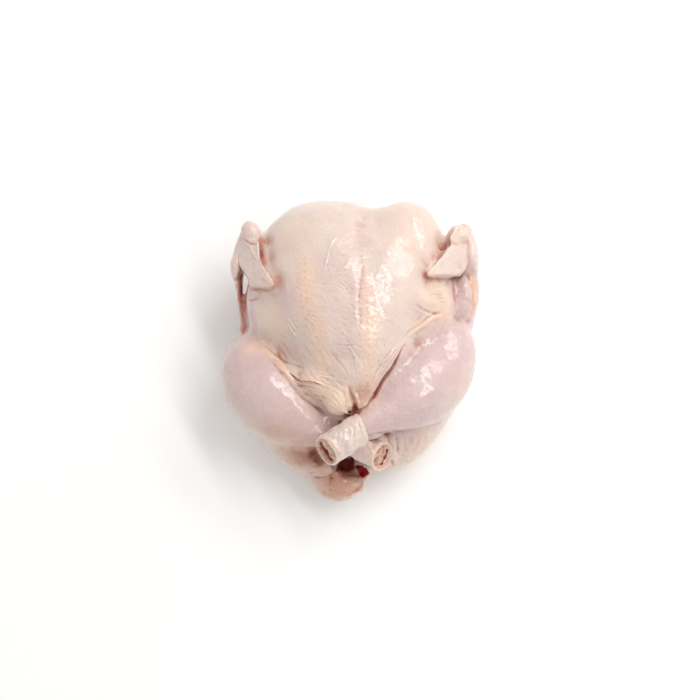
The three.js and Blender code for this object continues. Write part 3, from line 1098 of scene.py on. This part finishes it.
def paintRawSkin():
    look = skinLook
    material, tree, surface = startMaterial("raw chicken skin", look["shader"])
    place = addNode(tree, "TexCoord", {}).outputs["Object"]
    clouds = {}
    for name, (size, detail) in look["clouds"].items():
        feeds = {"Vector": place, "Scale": perMm(size), "Detail": detail, "Roughness": 0.6}
        clouds[name] = addNode(tree, "TexNoise", feeds).outputs["Fac"]
    feeds = {"Vector": place, "Scale": perMm(look["poreSpacing"]), "Randomness": 0.7}
    spots = addNode(tree, "TexVoronoi", feeds).outputs["Distance"]
    feeds = {"Value": spots, "From Min": 0.5, "From Max": 0.05}
    clouds["dots"] = addNode(tree, "MapRange", feeds).outputs["Result"]

    tint = colour(look["cream"])
    for name, mask, cloud, low, high, blend in skinLayers:
        feeds = {"Value": clouds[cloud], "From Min": 0.3, "From Max": 0.7, "To Min": low, "To Max": high}
        share = addNode(tree, "MapRange", feeds).outputs["Result"]
        if mask:
            painted = addNode(tree, "Attribute", {}, attribute_name=mask).outputs["Fac"]
            share = addNode(tree, "Math", {0: share, 1: painted}, operation="MULTIPLY").outputs[0]
        feeds = {0: share, 6: tint, 7: colour(look[name])}
        tint = addNode(tree, "Mix", feeds, data_type="RGBA", blend_type=blend).outputs[2]
    tree.links.new(tint, surface.inputs["Base Color"])

    low, high = look["roughness"]
    feeds = {"Value": clouds["blotch"], "From Min": 0.3, "From Max": 0.7, "To Min": low, "To Max": high}
    tree.links.new(addNode(tree, "MapRange", feeds).outputs["Result"], surface.inputs["Roughness"])
    feeds = {"Strength": 0.5, "Distance": look["pimpleHeight"] * mm, "Height": clouds["dots"]}
    pimples = addNode(tree, "Bump", feeds).outputs[0]
    feeds = {"Strength": 0.6, "Distance": look["grainHeight"] * mm, "Height": clouds["fine"]}
    feeds["Normal"] = pimples
    tree.links.new(addNode(tree, "Bump", feeds).outputs[0], surface.inputs["Normal"])
    return material


# flesh that shows where the skin is cut: two colours in clouds of 3 mm, their detail, and the shader's values
fleshLooks = {
    # joint cartilage and bone end: milky and smooth, greyer and pinker than the skin round it
    "wet gristle": (
        "#d6b8a4",
        "#a9714f",
        3,
        {
            "Roughness": 0.28,
            "Subsurface Weight": 0.3,
            "Subsurface Radius": (1.0, 0.5, 0.4),
            "Subsurface Scale": 1.5 * mm,
            "Coat Weight": 0.4,
            "Coat Roughness": 0.1,
        },
    ),
    # clotted blood and fat in the bone: dull red, mottled and wet
    "wet marrow": ("#7a2418", "#9a5244", 4, {"Specular IOR Level": 0.2, "Roughness": 0.3}),
    # the inner wall of the cavity: brownish red flesh, painted dark as the shade of its depth, and dull
    "shaded body wall": ("#5c1006", "#86301c", 4, {"Specular IOR Level": 0.2, "Roughness": 0.6}),
    # fresh blood over loose flesh: a deep, clear red with some shine
    "bloody flesh": ("#740400", "#a81002", 4, {"Specular IOR Level": 0.2, "Roughness": 0.35}),
}


def paintFlesh(name):
    first, second, detail, shader = fleshLooks[name]
    material, tree, surface = startMaterial(name, shader)
    place = addNode(tree, "TexCoord", {}).outputs["Object"]
    cloud = addNode(tree, "TexNoise", {"Vector": place, "Scale": perMm(3), "Detail": detail}).outputs["Fac"]
    share = addNode(tree, "MapRange", {"Value": cloud, "From Min": 0.35, "From Max": 0.65}).outputs["Result"]
    feeds = {0: share, 6: colour(first), 7: colour(second)}
    tree.links.new(addNode(tree, "Mix", feeds, data_type="RGBA").outputs[2], surface.inputs["Base Color"])
    return material


def wrinkle(piece, settings):
    form = startForm(piece)
    for crease in settings["creases"]:
        press(form, *crease)
    liftForm(piece, form)
    for bump in settings["bumps"]:
        roughen(piece, *bump)


def finishPiece(piece, material):
    makeActive(piece)
    bpy.ops.object.shade_smooth()
    piece.data.materials.append(material)
    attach(piece, "root")


print("building the skin")
skin = startSkin()
smoothSkin(skin)
refineSkin(skin)
print("skin faces", len(skin.data.polygons))
sculptSkin(skin)
crinkleSkin(skin)
thinSkin(skin)
paintSkin(skin)
rawSkin = paintRawSkin()
finishPiece(skin, rawSkin)
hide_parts("chicken")
print("skin done")


# the cut hocks: cuffs of skin, gristle and marrow
def leanHock(piece, hock):  # the pieces of a hock are made square to the shank and then leant
    places, _ = readPoints(piece.data)
    depth, across, rise = fromCut(hock, places)
    length = hockLength(hock)
    shift = -hock["lean"] * rise * ramp(depth, -14, 0)
    shift -= hock["slant"] * across * ease((-depth - length / 2) / (length / 2))
    places += shift[:, None] * np.array(hockWays(hock)[0]) * mm
    writePoints(piece.data, places)


# what both cuffs share
cuffPiece = {
    "sides": 48,
    "rimRing": (1.1, 1.4),  # how far inside the edge of the cut it lies, and how thick it is
    "jointRing": (3, 3),  # the same at the joint
    "hollow": (0.6, 4.2),  # how far past the cut its middle is, and half its depth
    "voxels": (0.6, 0.55),  # before and after the cut is hollowed
    "passes": 6,
    "bumps": [(9, 2.2), (1.8, 0.4)],  # size and height
    "creases": [  # thin strands and wrinkles
        ([(12, -75), (7, -79), (1, -84)], 0.7, 0.7),
        ([(11, -72), (4, -77), (-4, -84)], 0.6, 0.5),
        ([(9, -68), (2, -74), (-6, -80)], 0.6, 0.4),
        ([(-24, -70), (-16, -74), (-10, -82), (-8, -88)], 0.7, 0.5, groove),
        ([(0, -58), (3, -64), (2, -72)], 0.8, 0.4, groove),
        ([(-5, -61), (-4, -68), (-6, -76)], 0.7, 0.35),
        ([(-9, -63), (-8, -70), (-9, -78)], 0.7, 0.3),
        ([(6, -56), (8, -63), (10, -70)], 0.8, 0.5, groove),
        ([(14, -72), (19, -75), (22, -82)], 0.7, 0.6),
        ([(13, -76), (17, -80), (20, -88)], 0.7, 0.6),
        ([(17, -70), (22, -74), (25, -77)], 0.6, 0.4, groove),
    ],
}


def addCuff(name, hock):
    out, _, upward = hockWays(hock)
    length = hockLength(hock)
    clearSelection()
    bpy.ops.mesh.primitive_cone_add(
        vertices=cuffPiece["sides"],
        radius1=hock["jointRadius"] * mm,
        radius2=hock["cutRadius"] * mm,
        depth=length * mm,
        location=hockPlace(hock, -length / 2, 0, 0) * mm,
        rotation=out.to_track_quat("Z", "Y").to_euler(),
    )
    cuff = bpy.context.object
    bpy.ops.object.transform_apply(location=True, rotation=True, scale=True)
    cuff.name = name + "HockCuff"
    extras = []
    for depth, radius, ring in ((0, "cutRadius", "rimRing"), (-length, "jointRadius", "jointRing")):
        inset, thickness = cuffPiece[ring]
        extras.append(addRing(hockPlace(hock, depth, 0, 0), out, hock[radius] - inset, thickness))
    for *place, half in hock["bulges"]:
        extras.append(addLump(hockPlace(hock, *place), half, out, upward))
    joinInto(cuff, extras)
    coarse, fine = cuffPiece["voxels"]
    remesh(cuff, coarse)
    past, deep = cuffPiece["hollow"]
    inner = hock["cutRadius"] - hock["rim"]
    cutOut(cuff, addLump(hockPlace(hock, past, 0, 0), (deep, inner, inner), out, upward))
    remesh(cuff, fine)
    soften(cuff, cuffPiece["passes"])
    leanHock(cuff, hock)
    wrinkle(cuff, cuffPiece)
    return cuff


def paintCuff(cuff, hock):
    places, _ = readPoints(cuff.data)
    depth, across, rise = fromCut(hock, places)
    beside = np.hypot(across, rise)
    atRim = ease((depth + hock["lean"] * rise + 2.4) / 2)
    masks = {
        "blushAndShade": 0.6 * atRim * ease((hock["cutRadius"] - 0.6 - beside) / 2.5),
        "fat": 0.6 * ease((depth + hockLength(hock) + 4) / -8) + 0.35 * atRim,
        # painted shade: dark brown inside the cuff's hollow, just below the rim
        "brownShade": 0.5 * atRim * ease((hock["cutRadius"] - hock["rim"] - 1.4 - beside) / 1.2),
        "hollow": foldShadeMask(cuff.data, [treeOf(cuff), treeOf(skin)]),
        "furrowShade": furrowShadeMask(cuff.data),
    }
    writeMasks(cuff, masks)


# what shows in each cut: how deep the lumps lie, voxel, size and height of the bumps, slot and material
cutFlesh = {
    "gristle": (1.7, 0.45, (1.6, 0.7), "bone", paintFlesh("wet gristle")),
    "marrow": (1.8, 0.4, (1.5, 0.5), "raw_flesh", paintFlesh("wet marrow")),
}


def addCutFlesh(name, hock, kind):
    sink, voxel, bumps, slot, material = cutFlesh[kind]
    out, side, _ = hockWays(hock)
    lumps = [addLump(hockPlace(hock, -sink, *place), half, side, out) for *place, half in hock[kind]]
    piece = lumps[0]
    joinInto(piece, lumps[1:])
    piece.name = name + "Hock" + kind.capitalize()
    remesh(piece, voxel)
    soften(piece, 4)
    roughen(piece, *bumps)
    leanHock(piece, hock)
    finishPiece(piece, material)


for name, hock in hocks.items():
    cuff = addCuff(name, hock)
    paintCuff(cuff, hock)
    finishPiece(cuff, rawSkin)
    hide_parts("chicken")
    for kind in cutFlesh:
        addCutFlesh(name, hock, kind)
print("hocks done")

# what both hands of the wings share
handPiece = {
    "depth": 11,
    "bevel": 2.2,
    "voxel": 0.7,
    "passes": 10,
    "bumps": [(14, 2.4), (4, 0.7), (1.8, 0.25)],  # size and height
    "creases": [
        ([(-86.4, 90), (-81, 84), (-77, 77), (-74.6, 70)], 1.1, 0.8),
        ([(-86, 91), (-82.7, 86.6), (-78, 84.6), (-72.6, 86)], 0.9, 1.0, groove),
        ([(-72, 60), (-67, 56), (-63.4, 53.4)], 1.0, 0.4),
        ([(-80, 56), (-76, 54), (-70, 54)], 1.2, 0.3),
        ([(81, 86.6), (86, 84.4), (90, 86)], 1.2, 0.5, groove),
        ([(92, 82), (89, 74), (88, 66)], 1.6, 0.4),
        ([(66, 61), (72, 61.5), (80, 63)], 1.0, 0.35),
    ],
    "fat": [((-63, 54), 7, 0.7), ((64, 60), 7, 0.6), ((88, 93), 8, 0.5)],
}


def addHand(name, hand):
    corners = [placeOnPlane(place, hand["top"], handNormal(hand)) for place in hand["outline"]]
    under = [corner - Vector((0, 0, handPiece["depth"])) for corner in corners]
    count = len(corners)
    around = range(count)
    faces = [tuple(around), tuple(count + i for i in reversed(around))]
    faces += [(i, count + i, count + (i + 1) % count, (i + 1) % count) for i in around]
    slab = addMesh(name + "Hand", [tuple(corner * mm) for corner in [*corners, *under]], faces)
    bpy.ops.object.mode_set(mode="EDIT")
    bpy.ops.mesh.select_all(action="SELECT")
    bpy.ops.mesh.normals_make_consistent(inside=False)
    bpy.ops.object.mode_set(mode="OBJECT")
    useModifier(slab, "BEVEL", width=handPiece["bevel"] * mm, segments=3, limit_method="ANGLE")
    ray = rayTo(hand["knuckle"])
    knuckle = (eye + ray * ((hand["knuckleZ"] * mm - eye.z) / ray.z)) / mm
    joinInto(slab, [addLump(knuckle, hand["knuckleHalf"], hand["knuckleWay"])])
    remesh(slab, handPiece["voxel"])
    soften(slab, handPiece["passes"])
    wrinkle(slab, handPiece)
    return slab


def paintHand(slab):  # pink towards the edges, whiter on the flat
    form = startForm(slab)
    masks = {
        "blushAndShade": 0.3 * (1 - ease(form["facings"][:, 2] / 0.8)),
        "fat": paint(form, handPiece["fat"]),
        "hollow": foldShadeMask(slab.data, [form["tree"], treeOf(skin)]),
        "furrowShade": furrowShadeMask(slab.data),
    }
    writeMasks(slab, masks)


for name, hand in hands.items():
    slab = addHand(name, hand)
    paintHand(slab)
    finishPiece(slab, rawSkin)
    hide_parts("chicken")
print("hands done")

# thin films of wet flesh that lie on the skin: outline in the picture, height in the middle and material
patches = {
    # a dark sheet over the cavity's mouth: its red flesh and painted shade
    "shadedBodyWall": (cavityOutline, 0.5, paintFlesh("shaded body wall")),
    "ventFlesh": (
        [
            *[(3, -91.6), (9, -91.2), (13.6, -94.2), (17.4, -98.6)],
            *[(13.8, -101.4), (10, -103.6), (6.4, -99.4), (4.2, -95.6)],
        ],
        0.9,
        paintFlesh("bloody flesh"),
    ),
}


def addPatch(name, outline, height, material, step=0.4, sink=0.2, thickness=0.6):
    tree = treeOf(skin)
    low, high = np.min(outline, axis=0), np.max(outline, axis=0)
    points, index = [], {}
    for i, right in enumerate(np.arange(low[0], high[0] + step, step)):
        for j, up in enumerate(np.arange(low[1], high[1] + step, step)):
            gap = gapInside(np.array([(right, up)]), outline)[0]
            spot, facing = findSpot(tree, (right, up))
            if gap < 0 or not spot:
                continue
            rise = height * ease(gap / (3 * height)) - sink
            index[i, j] = len(points)
            points.append(tuple(spot + facing * rise * mm))
    faces = []
    for i, j in index:
        ring = [(i, j), (i + 1, j), (i + 1, j + 1), (i, j + 1)]
        if all(corner in index for corner in ring):
            faces.append([index[corner] for corner in ring])
    patch = addMesh(name, points, faces)
    soften(patch, 3)
    roughen(patch, 2.2, 0.5)
    useModifier(patch, "SOLIDIFY", thickness=thickness * mm, offset=-1)
    finishPiece(patch, material)


for name, (outline, height, material) in patches.items():
    addPatch(name, outline, height, material)
print("patches done")

# the table and the light
studio = {
    "floor": "#fbfaf8",
    "world": 0.75,
    # three wide softboxes one over the other: place and size in metres, power in watts
    "lights": [
        ((0.99, 0.99, 0.62), (0.7, 0.16), 2.4),
        ((0.8, 0.8, 1.18), (0.9, 0.3), 4.2),
        ((0.62, 0.34, 1.4), (1.5, 0.2), 9),
    ],
}


def addFloor():
    clearSelection()
    bpy.ops.mesh.primitive_plane_add(size=8)
    floor = bpy.context.object
    floor.name = "table"
    # matt laminate: an even white with no shine
    shader = {"Base Color": colour(studio["floor"]), "Roughness": 0.9}
    floor.data.materials.append(startMaterial("matt white table", shader)[0])


def addLight(place, size, power):
    way = Vector(shot["aim"]) - Vector(place)
    bpy.ops.object.light_add(type="AREA", location=place, rotation=way.to_track_quat("-Z", "Y").to_euler())
    lamp = bpy.context.object.data
    lamp.shape = "RECTANGLE"
    lamp.size, lamp.size_y = size
    lamp.energy = power


def setSky():
    world = bpy.data.worlds.new("studio")
    world.use_nodes = True
    world.node_tree.nodes["Background"].inputs["Color"].default_value = (1, 1, 1, 1)
    world.node_tree.nodes["Background"].inputs["Strength"].default_value = studio["world"]
    bpy.context.scene.world = world
    bpy.context.scene.view_settings.view_transform = "Standard"


addFloor()
for place, size, power in studio["lights"]:
    addLight(place, size, power)
setSky()
print("light set")
